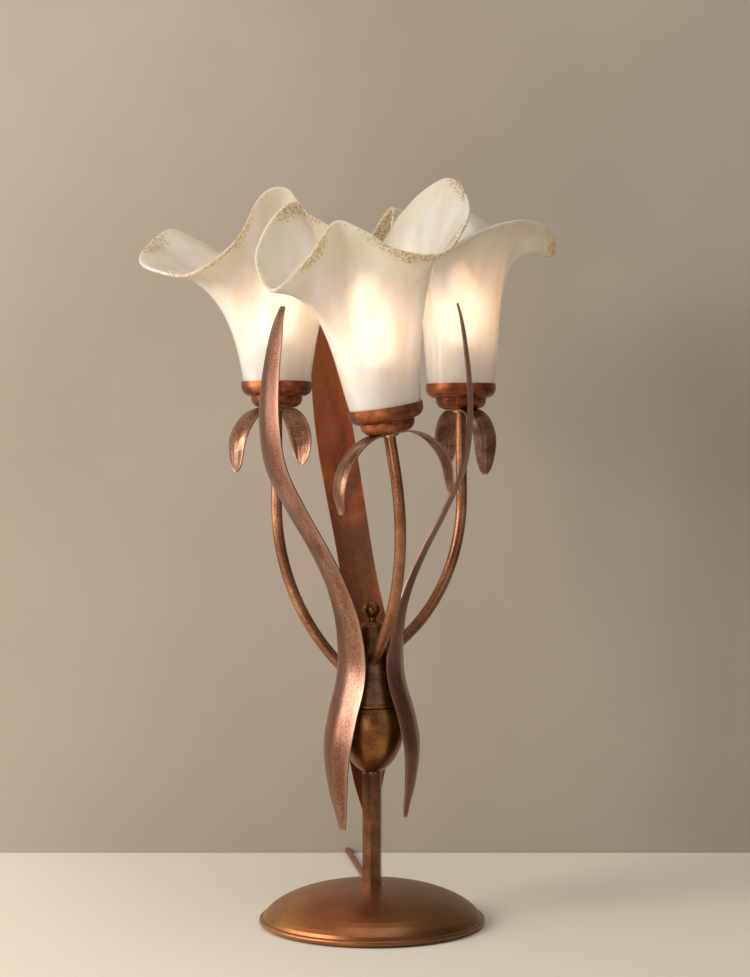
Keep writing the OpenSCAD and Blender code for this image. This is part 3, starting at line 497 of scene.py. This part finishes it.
def alabaster(side):
    """Opal glass with milky streaks, warm emission painted round the bulb, and frit along the lip."""
    material, tree, surface = new_material("blown_alabaster_glass_" + side)
    coords = add(tree, "TexCoord")
    near = add(tree, "Attribute", attribute_name="lip_near")
    up = add(tree, "Attribute", attribute_name="up_wall")
    drawn_up = add(tree, "Mapping", {"Vector": coords.outputs["Object"],
                                     "Scale": (1, 1, STREAK_SQUEEZE)})
    streaks = add(tree, "TexNoise", {"Vector": drawn_up.outputs[0], "Scale": 1 / (STREAK_MM * MM),
                                     "Detail": 5, "Distortion": 0.6})
    milk = add(tree, "ValToRGB", {"Fac": streaks.outputs[0]},
               stops=[(0.3, "#ece0d6"), (0.5, "#f5efe9"), (0.72, "#fdfbf9")])
    clouds = add(tree, "TexNoise", {"Vector": coords.outputs["Object"],
                                    "Scale": 1 / (FRIT_CLOUD_MM * MM), "Detail": 3})
    grains = add(tree, "TexNoise", {"Vector": coords.outputs["Object"],
                                    "Scale": 1 / (FRIT_MM * MM), "Detail": 3, "Roughness": 0.65})
    band = add(tree, "Math", {0: near.outputs["Fac"], 1: clouds.outputs[0]}, operation="MULTIPLY")
    patches = add(tree, "ValToRGB", {"Fac": band.outputs[0]}, stops=[(0.16, 0.0), (0.5, 1.0)])
    where = add(tree, "Math", {0: patches.outputs[0], 1: grains.outputs[0]}, operation="MULTIPLY")
    dots = add(tree, "ValToRGB", {"Fac": where.outputs[0]}, stops=[(0.46, 0.0), (0.56, 0.85)])
    shade_of_frit = add(tree, "ValToRGB", {"Fac": clouds.outputs[0]},
                        stops=[(0.35, "#a5873f"), (0.5, "#c2a45c"), (0.65, "#b3935a")])
    warm = add(tree, "Mix", {0: band.outputs[0], 6: milk.outputs[0], 7: linear("#efe3c6")},
               data_type="RGBA")
    coloured = add(tree, "Mix", {0: dots.outputs[0], 6: warm.outputs[2],
                                 7: shade_of_frit.outputs[0]}, data_type="RGBA")
    tree.links.new(coloured.outputs[2], surface.inputs["Base Color"])
    # painted light: emission by height up the wall stands in for the bulb's light through the glass
    painted_glow = add(tree, "ValToRGB", {"Fac": up.outputs["Fac"]},
               stops=[(0.0, "#8a6a55"), (0.3, "#c9a88e"), (0.5, "#d8b89c"), (0.75, "#6e5a4c"),
                      (1.0, "#000000")])
    tree.links.new(painted_glow.outputs[0], surface.inputs["Emission Color"])
    surface.inputs["Emission Strength"].default_value = 0.1
    wrinkle = add(tree, "Bump", {"Height": streaks.outputs[0], "Strength": 0.25,
                                 "Distance": 1.2 * MM})
    tree.links.new(wrinkle.outputs[0], surface.inputs["Normal"])
    surface.inputs["Roughness"].default_value = 0.36
    surface.inputs["IOR"].default_value = 1.5
    surface.inputs["Transmission Weight"].default_value = 0.4
    surface.inputs["Subsurface Weight"].default_value = 1.0
    surface.inputs["Subsurface Radius"].default_value = (1.0, 0.8, 0.55)
    surface.inputs["Subsurface Scale"].default_value = 9 * MM
    surface.inputs["Coat Weight"].default_value = 0.8
    surface.inputs["Coat Roughness"].default_value = 0.07
    return material


def mark_glass(piece, side):
    """Stores how near each point of a shade is to the lip, and its height for the painted light."""
    head_inverse = heads[side].inverted()
    mesh = piece.data
    near = mesh.attributes.new("lip_near", "FLOAT", "POINT")
    up = mesh.attributes.new("up_wall", "FLOAT", "POINT")
    lips = [lip_point(side, k / ROUND_STEPS) for k in range(ROUND_STEPS)]
    rim_points = [Vector((r * math.cos(a), r * math.sin(a), h)) for r, h, a in lips]
    for v, a, b in zip(mesh.vertices, near.data, up.data):
        place = head_inverse @ v.co / MM
        gap = min((place - q).length for q in rim_points)
        a.value = max(0.0, 1 - gap / FRIT_BAND)
        b.value = max(0.0, min(1.0, (place.z - UP_START) / UP_SPAN))


# %% Three tulips
for side in SIDES:
    shade = finish_piece("tulip_" + side, blow_shade(side), alabaster(side),
                         ["shade_" + side], smooth_angle=80)
    mark_glass(shade, side)
    subdivide = shade.modifiers.new("smooth", "SUBSURF")
    subdivide.levels = 1
    subdivide.render_levels = 1
    print(shade.name, len(shade.data.polygons), "faces")

# %% [markdown]
# ## The bulbs
# Inside each tulip is an opal candle bulb. It is a real lamp here: its skin gives off warm light
# that lights the glass, and the glass shows it as a soft hot spot over the light painted into it.

# %% Bulb material
BULB_STRENGTH = 4.4


def lit_opal():
    """Opal glass with a warm filament light behind it."""
    material, tree, surface = new_material("lit_opal_bulb_glass")
    surface.inputs["Base Color"].default_value = linear("#fff6e6")
    surface.inputs["Roughness"].default_value = 0.35
    surface.inputs["Emission Color"].default_value = linear("#ffe8d0")
    surface.inputs["Emission Strength"].default_value = BULB_STRENGTH
    return material


dress(lit_opal(), *["bulb_" + side for side in SIDES])
print("bulbs lit:", len(SIDES))

# %% [markdown]
# ## Patinated copper
# A finish like this can be made with a darkening bath, rubbing back and lacquer. The rubbing
# leaves bright copper on ridges and edges, the bath leaves brown and rust-red clouds, and a brush
# leaves a fine sandy speckle. The speckle is drawn about 1 mm wide, which is close to the finest
# thing that the photograph can show. The lacquer gives a soft gloss over all of it.

# %% Copper material
LIGHT_AND_COLOUR_SHARE = 0.65


def patina(name, dark, mid, bright, cloud_mm, speckle_mm, roughness, metallic=0.85, rub=0.5,
           speckled=0.4, stretch=1.0, light_and_colour_sweep=None):
    """Antiqued copper: clouds of patina, fine speckle, and bright metal where it was rubbed.

    The speckled share says how much of the tone follows the speckle and not the clouds. A stretch
    over 1 draws the clouds out along Z, as a brush does. A light_and_colour_sweep is an axis, its
    first and last place in mm and the colours along it: painted light and shade, and on some pieces
    their own colour, laid over the patina."""
    material, tree, surface = new_material(name)
    place = add(tree, "TexCoord").outputs["Object"]
    drawn = add(tree, "Mapping", {"Vector": place, "Scale": (1, 1, 1 / stretch)})
    clouds = add(tree, "TexNoise", {"Vector": drawn.outputs[0], "Scale": 1 / (cloud_mm * MM),
                                    "Detail": 4, "Roughness": 0.55})
    speckle = add(tree, "TexNoise", {"Vector": place, "Scale": 1 / (speckle_mm * MM), "Detail": 2,
                                     "Roughness": 0.7})
    blend = add(tree, "Mix", {0: speckled, 2: clouds.outputs[0], 3: speckle.outputs[0]},
                data_type="FLOAT")
    tone = add(tree, "ValToRGB", {"Fac": blend.outputs[0]},
               stops=[(0.38, dark), (0.5, mid), (0.63, bright)]).outputs[0]
    # painted light and shade along one axis, mixed over the patina; its stops may hold own colour too
    if light_and_colour_sweep:
        axis, first, last, stops = light_and_colour_sweep
        parts = add(tree, "SeparateXYZ", {0: place})
        along = add(tree, "MapRange", {0: parts.outputs[axis], 1: first * MM, 2: last * MM})
        shifted = add(tree, "Math", {0: along.outputs[0], 1: 0.5, 2: clouds.outputs[0]},
                      operation="MULTIPLY_ADD")
        light_and_colour_tone = add(tree, "ValToRGB", {"Fac": shifted.outputs[0]}, stops=stops)
        tone = add(tree, "Mix", {0: LIGHT_AND_COLOUR_SHARE, 6: tone, 7: light_and_colour_tone.outputs[0]},
                   data_type="RGBA").outputs[2]
    if rub:
        ridge = add(tree, "ValToRGB", {"Fac": add(tree, "NewGeometry").outputs["Pointiness"]},
                    stops=[(0.5, 0.0), (0.56, 1.0)])
        worn = add(tree, "Math", {0: ridge.outputs[0], 1: rub}, operation="MULTIPLY")
        tone = add(tree, "Mix", {0: worn.outputs[0], 6: tone, 7: linear(bright)},
                   data_type="RGBA").outputs[2]
    rough = add(tree, "MapRange", {0: speckle.outputs[0], 3: roughness - 0.1, 4: roughness + 0.14})
    relief = add(tree, "Bump", {"Height": speckle.outputs[0], "Strength": 0.3,
                                "Distance": 0.25 * MM})
    tree.links.new(tone, surface.inputs["Base Color"])
    tree.links.new(rough.outputs[0], surface.inputs["Roughness"])
    tree.links.new(relief.outputs[0], surface.inputs["Normal"])
    surface.inputs["Metallic"].default_value = metallic
    surface.inputs["Coat Weight"].default_value = 0.25
    surface.inputs["Coat Roughness"].default_value = 0.25
    return material


# %% [markdown]
# The finishes differ from piece to piece. On the foot a painted highlight makes it brightest on
# its left, and painted shade darkens it to the right. On the back leaf painted shade darkens it
# towards its foot, below its own rust red at the top. Both are laid along one axis over the
# patina. The arms and the back leaf aren't rubbed here. On the arms the node that finds edges
# would mark the facets of the imported tubes, and show them as a row of dashes.

# %% Copper and bronze finishes
# painted highlight on the foot's left and painted shade towards its right
DOME_PAINTED_LIGHT = ("X", -95, 95, [(0.3, "#7c4f2a"), (0.42, "#c0904c"), (0.58, "#a8623c"),
                             (0.72, "#7c4830"), (0.95, "#402618")])
# painted shade darkens the back leaf towards its foot; the rust red at its top is its own colour
BACK_PAINTED_SHADE_AND_RUST = ("Z", 330, 480, [(0.3, "#452614"), (0.55, "#5c2f16"), (0.75, "#ac521c"),
                              (1.0, "#a8622c")])
copper_arm = patina("lacquered_copper_tube", "#603725", "#8e5b3e", "#bd8a66", 40, 1.0, 0.3, rub=0,
                    speckled=0.55)
copper_leaf = patina("lacquered_copper_sheet", "#4a2a20", "#7c4e3a", "#b08a76", 26, 1.0, 0.31,
                     speckled=0.5, stretch=4)
copper_back_painted_shade = patina("rust_red_copper_sheet_painted_shade", "#43200f", "#96491a", "#c47030", 18, 1.0, 0.46, 0.35,
                     rub=0, speckled=0.7, stretch=4, light_and_colour_sweep=BACK_PAINTED_SHADE_AND_RUST)
copper_strip = patina("lacquered_copper_strip", "#46281c", "#7b503a", "#b38d75", 20, 1.0, 0.31,
                      speckled=0.5)
copper_cup = patina("dark_patina_copper_cup", "#3a1b0e", "#7a3b1d", "#b5673a", 12, 0.9, 0.34,
                    rub=0.3)
copper_stem = patina("dark_copper_stem", "#301b11", "#583420", "#8c5f40", 18, 0.9, 0.34, rub=0.3)
bronze_dome_painted_light = patina("antiqued_bronze_dome_painted_light", "#5a331b", "#8a572f", "#b98443", 60, 1.0, 0.34,
                     light_and_colour_sweep=DOME_PAINTED_LIGHT)
bronze_body = patina("antiqued_bronze_body", "#452713", "#744826", "#a67639", 30, 1.0, 0.3, rub=0.2)
dark_cone = patina("speckled_dark_cone", "#46291b", "#75503a", "#a67b5a", 14, 0.9, 0.4, rub=0.3,
                   speckled=0.6)

dress(copper_arm, "arm_left", "arm_right", "arm_front")
dress(copper_stem, "stem_tube")
dress(copper_cup, "cup_left", "cup_right", "cup_front", "leaf_studs")
dress(bronze_dome_painted_light, "base_dome")
dress(bronze_body, "lower_bowl", "ball_finial", "rim_ring")
dress(dark_cone, "upper_cone")
print("materials so far:", len(bpy.data.materials))

# %% [markdown]
# ## Long leaves
# A leaf was cut from sheet, creased along its middle and bent over a former. It starts here as a
# flat grid with rows across the leaf, from its upper tip to its lower one. Each row is bent to a
# shallow roof, the ridge follows the bend of the leaf, and the sheet then gets its thickness. The
# three leaves share one bend, which is spread, turned and raised a little for each. The numbers
# of the bend are distance from the lamp's axis, height, and share of the full width.

# %% Leaf shapes
LEAF_CURVE = [(84, 515, 0.2), (88, 504, 0.36), (92, 486, 0.54), (97, 452, 0.7), (98, 418, 0.8),
              (92, 381, 0.83), (74, 346, 0.8), (55, 315, 0.76), (40, 286, 0.76), (30, 256, 0.86),
              (26, 225, 0.95), (28, 203, 1), (35, 180, 1), (40, 158, 0.97), (41, 138, 0.84),
              (38, 112, 0.6), (34, 95, 0.36), (32, 84, 0.2)]
FIX_R, FIX_Z = LEAF_CURVE[10][:2]  # the point that the stud holds
TIP_RISE = LEAF_CURVE[0][1] - FIX_Z
LEAF_W = 36
LEAF_T = 1.2
LEAF_CREASE = 3
RIDGE_SOFTNESS = 0.012
ROLL_START = 0.8
VEIN_H = 0.1
VEINS = 5
LEAVES = {"left": dict(az=216.5, spread=1.14, drift=0, twist=-4, rise=1, wide=1.13, foot=1.02),
          "right": dict(az=336.5, spread=0.9, drift=0, twist=20, rise=1.015, wide=1, foot=0.95),
          "back": dict(az=95, spread=1.06, drift=38, twist=0, rise=1.055, wide=1.15, foot=1)}
LEAF_ACROSS = 12
LEAF_STEPS = 5


def leaf_line(shape):
    """The ridge of one leaf: distance from the lamp's axis, height and share of the full width."""
    points = []
    for r, z, w in LEAF_CURVE:
        rise = z - FIX_Z
        if rise > 0:
            r = FIX_R + (r - FIX_R) * shape["spread"]
        z = FIX_Z + rise * shape["rise" if rise > 0 else "foot"]
        points.append(Vector((r, z, w)))
    return smooth_through(points, LEAF_STEPS)


def leaf_depth(across, share):
    """How far the sheet is proud of its ridge: a soft roof with veins and rolled edges."""
    roof = max(0.0, 1.12 * (math.sqrt(across * across + RIDGE_SOFTNESS) - 0.11))
    veins = VEIN_H * math.cos(across * math.pi * VEINS) * share
    edge_roll = 0.25 * max(0, abs(across) - ROLL_START)
    return -LEAF_CREASE * share * (1.2 * roof ** 0.9 + 0.2 * across * across + edge_roll) + veins


def bend_leaf(name):
    """One leaf, from a flat grid to a bent and creased sheet with a wall."""
    shape = LEAVES[name]
    line = leaf_line(shape)
    bm = bmesh.new()
    bmesh.ops.create_grid(bm, x_segments=LEAF_ACROSS, y_segments=len(line) - 1, size=1)
    turn = Matrix.Rotation(math.radians(shape["az"]), 3, "Z")
    for v in bm.verts:
        across = v.co.x
        j = round((v.co.y + 1) / 2 * (len(line) - 1))
        p = line[j]
        along = line[min(j + 1, len(line) - 1)] - line[max(j - 1, 0)]
        out = Vector((-along.y, 0, along.x)).normalized()
        rise = max(0, p.y - FIX_Z) / TIP_RISE
        twist = Matrix.Rotation(math.radians(shape["twist"] * min(1, 2.5 * rise)), 3, "Z")
        half = LEAF_W / 2 * shape["wide"] * p.z
        depth = leaf_depth(across, p.z) - VEIN_H
        ridge = Vector((p.x, shape["drift"] * rise, p.y))
        place = ridge + twist @ Vector((0, half * across, 0)) + twist @ out * depth
        v.co = turn @ place * MM
    bmesh.ops.recalc_face_normals(bm, faces=bm.faces)
    middle_face = min(bm.faces, key=lambda f: abs(f.calc_center_median().z - FIX_Z * MM))
    outward = turn @ Vector((1, 0, 0))
    if middle_face.normal.dot(outward) < 0:
        bmesh.ops.reverse_faces(bm, faces=bm.faces)
    bmesh.ops.solidify(bm, geom=bm.faces[:], thickness=LEAF_T * MM)
    return bm


for name in LEAVES:
    finish = copper_back_painted_shade if name == "back" else copper_leaf
    leaf = finish_piece("long_leaf_" + name, bend_leaf(name), finish,
                        ["leaf_" + name], smooth_angle=50)
    print(leaf.name, len(leaf.data.polygons), "faces")

# %% [markdown]
# ## Calyx strips
# Under each cup one strip is clamped flat in its middle. Both halves bend down like sepals, with
# a shallow channel and a few hammered veins. The same way of working is used: a flat grid, bent
# row by row, then given its thickness. A half is written as its direction in degrees, its reach
# from the clamp and its drop below it, both in mm.

# %% Strip shapes
STRIP_FLAT = 9
STRIP_W = 23
STRIP_WAIST = 16
STRIP_T = 1.2
STRIP_SAG = 2.2
STRIP_TOP = 23.2
STRIP_VEIN_H = 0.25
STRIP_VEINS = 4
STRIPS = {"left": [(223, 46, 54), (62, 43, 48)],
          "right": [(300, 39, 55), (107, 42, 48)],
          "front": [(208, 54, 55), (20, 46, 60)]}
STRIP_STEPS = 30
STRIP_ACROSS = 12
CLAMP_ROWS = 3
LOBE_WIDEST = 0.55
LOBE_TAPER = 0.455
LOBE_TIP = 0.004
LOBE_LEAN = 0.06


def lobe_line(reach, drop):
    """One half of a strip, from the clamp to its tip: distance from the axis and height."""
    bend = reach - STRIP_FLAT
    straight = drop - bend
    total = STRIP_FLAT + bend * math.pi / 2 + straight
    points = []
    for k in range(STRIP_STEPS + 1):
        s = total * k / STRIP_STEPS
        if s < STRIP_FLAT:
            points.append(Vector((s, 0)))
        elif s < total - straight:
            a = (s - STRIP_FLAT) / bend
            points.append(Vector((STRIP_FLAT + bend * math.sin(a), bend * (math.cos(a) - 1))))
        else:
            e = s - (total - straight)
            points.append(Vector((reach - LOBE_LEAN * e, -bend - e)))
    return points


def lobe_half(s):
    """Half the width of a lobe at a share of its length."""
    if s < LOBE_WIDEST:
        swell = math.sin(math.pi / 2 * s / LOBE_WIDEST)
        return STRIP_WAIST / 2 + (STRIP_W - STRIP_WAIST) / 2 * swell
    return STRIP_W / 2 * math.sqrt(max(LOBE_TIP, 1 - ((s - LOBE_WIDEST) / LOBE_TAPER) ** 2))


# %% Bend the strips
def bend_strip(side):
    """A double-ended strip under one cup."""
    head = heads[side]
    bm = bmesh.new()
    rows = 2 * STRIP_STEPS
    bmesh.ops.create_grid(bm, x_segments=STRIP_ACROSS, y_segments=rows, size=1)
    first, second = STRIPS[side]
    for v in bm.verts:
        across = v.co.x
        j = round((v.co.y + 1) / 2 * rows) - STRIP_STEPS
        az, reach, drop = first if j < 0 else second
        k = abs(j)
        if k < CLAMP_ROWS:
            share = (j + CLAMP_ROWS) / (2 * CLAMP_ROWS)
            az = first[0] + (second[0] + 180 - first[0]) * share - (180 if j >= 0 else 0)
        line = lobe_line(reach, drop)
        p = line[k]
        along = line[min(k + 1, STRIP_STEPS)] - line[max(k - 1, 0)]
        out = Vector((-along.y, along.x)).normalized()
        s = k / STRIP_STEPS
        half = lobe_half(s)
        bent = min(1, max(0, 3 * s - 0.5))
        sag = STRIP_SAG * bent * half / (STRIP_W / 2)
        veins = STRIP_VEIN_H * bent * math.cos(across * math.pi * STRIP_VEINS)
        depth = -sag * across * across + veins + STRIP_T
        turn = Matrix.Rotation(math.radians(az), 3, "Z")
        sideways = half * across * (1 if j < 0 else -1)
        place = turn @ Vector((p.x + out.x * depth, sideways, p.y + out.y * depth))
        v.co = head @ ((place - Vector((0, 0, STRIP_TOP))) * MM)
    bmesh.ops.recalc_face_normals(bm, faces=bm.faces)
    up = head.to_3x3() @ Vector((0, 0, 1))
    clamp = head @ Vector((0, 0, -STRIP_TOP * MM))
    top_face = min(bm.faces, key=lambda f: (f.calc_center_median() - clamp).length)
    if top_face.normal.dot(up) < 0:
        bmesh.ops.reverse_faces(bm, faces=bm.faces)
    bmesh.ops.solidify(bm, geom=bm.faces[:], thickness=STRIP_T * MM)
    return bm


for side in SIDES:
    strip = finish_piece("calyx_strip_" + side, bend_strip(side), copper_strip,
                         ["calyx_" + side], smooth_angle=50)
    print(strip.name, len(strip.data.polygons), "faces")

# %% [markdown]
# ## Small parts
# What is left is fittings: brass nipples and nuts, zinc-plated washers and screws, black phenolic
# lampholders, a grey felt pad, the cast weight, and the brown switch and plug on the cord. Their
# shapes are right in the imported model, so each only gets the finish of what it is made of.

# %% Turned and plated metal
def turned_metal(name, colour, roughness, grain_mm):
    """Turned or plated metal with fine tool marks."""
    material, tree, surface = new_material(name)
    place = add(tree, "TexCoord")
    marks = add(tree, "TexNoise", {"Vector": place.outputs["Object"],
                                   "Scale": 1 / (grain_mm * MM), "Detail": 3})
    tone = add(tree, "ValToRGB", {"Fac": marks.outputs[0]},
               stops=[(0.3, colour[0]), (0.7, colour[1])])
    rough = add(tree, "MapRange", {0: marks.outputs[0], 3: roughness - 0.08, 4: roughness + 0.08})
    tree.links.new(tone.outputs[0], surface.inputs["Base Color"])
    tree.links.new(rough.outputs[0], surface.inputs["Roughness"])
    surface.inputs["Metallic"].default_value = 1.0
    return material


brass = turned_metal("turned_brass", ("#a88248", "#c9a663"), 0.3, 1.5)
zinc = turned_metal("zinc_plated_steel", ("#8f9296", "#b4b7ba"), 0.34, 1.5)
nickel = turned_metal("nickel_plated_brass", ("#b6b2a8", "#cfccc4"), 0.22, 2)

# %% Moulded plastic, felt and cast iron
# glossy from polished moulds, except the sleeve, the tie, the felt and the painted iron
phenolic = moulded("moulded_black_phenolic", ("#141210", "#1c1916"), 0.32, 1.2)
brown_abs = moulded("moulded_brown_abs", ("#2e1d14", "#372419"), 0.36, 1.0)
dark_abs = moulded("moulded_dark_abs", ("#120e0b", "#1a1410"), 0.3, 1.0)
polyamide = moulded("moulded_white_polyamide", ("#d9d4c6", "#e4e0d4"), 0.45, 1.2)
sleeve = moulded("heat_proof_sleeve", ("#b59c74", "#c4ab84"), 0.6, 0.8)
tie = moulded("covered_tie_wire", ("#191614", "#221e1b"), 0.5, 0.8)
felt = moulded("napped_grey_felt", ("#3f3d39", "#57544e"), 0.95, 0.9, bump=0.8)
cast_iron = moulded("painted_cast_iron", ("#1d1d1f", "#2a2a2c"), 0.7, 1.6, bump=0.7)

# %% Dress the fittings
dress(brass, "centre_rod", "arm_nipples", "cup_nuts")
dress(zinc, "base_washer", "base_nut", "switch_screws")
dress(nickel, "bulb_caps", "plug_pins")
dress(phenolic, "lampholder_left", "lampholder_right", "lampholder_front", "shade_rings")
dress(brown_abs, "switch_base", "switch_cover", "plug_body")
dress(dark_abs, "switch_rocker")
dress(polyamide, "terminal_block", "splice_cap")
dress(sleeve, "stem_lead", "arm_leads")
dress(cord_pvc, "feed_lead", "cord_bushing")
dress(tie, "coil_tie")
dress(felt, "base_pad")
dress(cast_iron, "base_weight")
print("materials in all:", len(bpy.data.materials))

# %% [markdown]
# ## Light
# A big soft lamp stands to the left and in front, as the bright flanks of the leaves show. Small
# weak ones beside it and low in front put soft glints on the metal. A weak one fills from the
# right, one stands above, and the world adds a pale even light. Where the camera looks past the
# table it sees a paler sky.

# %% Studio lamps
def soft_lamp(name, place, target, size, watts, colour="#ffffff"):
    """A square area lamp that faces a point."""
    data = bpy.data.lights.new(name, "AREA")
    data.size = size
    data.energy = watts
    data.color = linear(colour)[:3]
    lamp = bpy.data.objects.new(name, data)
    lamp.location = place
    lamp.rotation_euler = (Vector(target) - Vector(place)).to_track_quat("-Z", "Y").to_euler()
    scene.collection.objects.link(lamp)


AIM = (0, 0, 0.3)
soft_lamp("key", (-1.5, -0.9, 1.0), AIM, 0.8, 26, "#fff6ea")
soft_lamp("side", (-1.2, -0.1, 0.5), AIM, 0.5, 4, "#fff8f0")
soft_lamp("low", (-0.6, -1.6, 0.2), (-0.1, 0, 0.4), 0.5, 3, "#fff8f0")
soft_lamp("fill", (1.2, -1.6, 0.8), AIM, 1.2, 3, "#eef3ff")
soft_lamp("top", (0.1, -0.5, 2.2), AIM, 1.4, 13, "#fff8ef")

world = bpy.data.worlds.new("studio")
scene.world = world
world.use_nodes = True
sky = world.node_tree
sky.nodes.clear()
rays = add(sky, "LightPath")
ambient = add(sky, "Background", {"Color": linear("#e9e4dc"), "Strength": 0.26})
pale = add(sky, "Background", {"Color": linear("#cfc8be"), "Strength": 0.9})
both = add(sky, "MixShader", {0: rays.outputs["Is Camera Ray"], 1: ambient.outputs[0],
                              2: pale.outputs[0]})
add(sky, "OutputWorld", {"Surface": both.outputs[0]})
print("lamps:", len(bpy.data.lights))
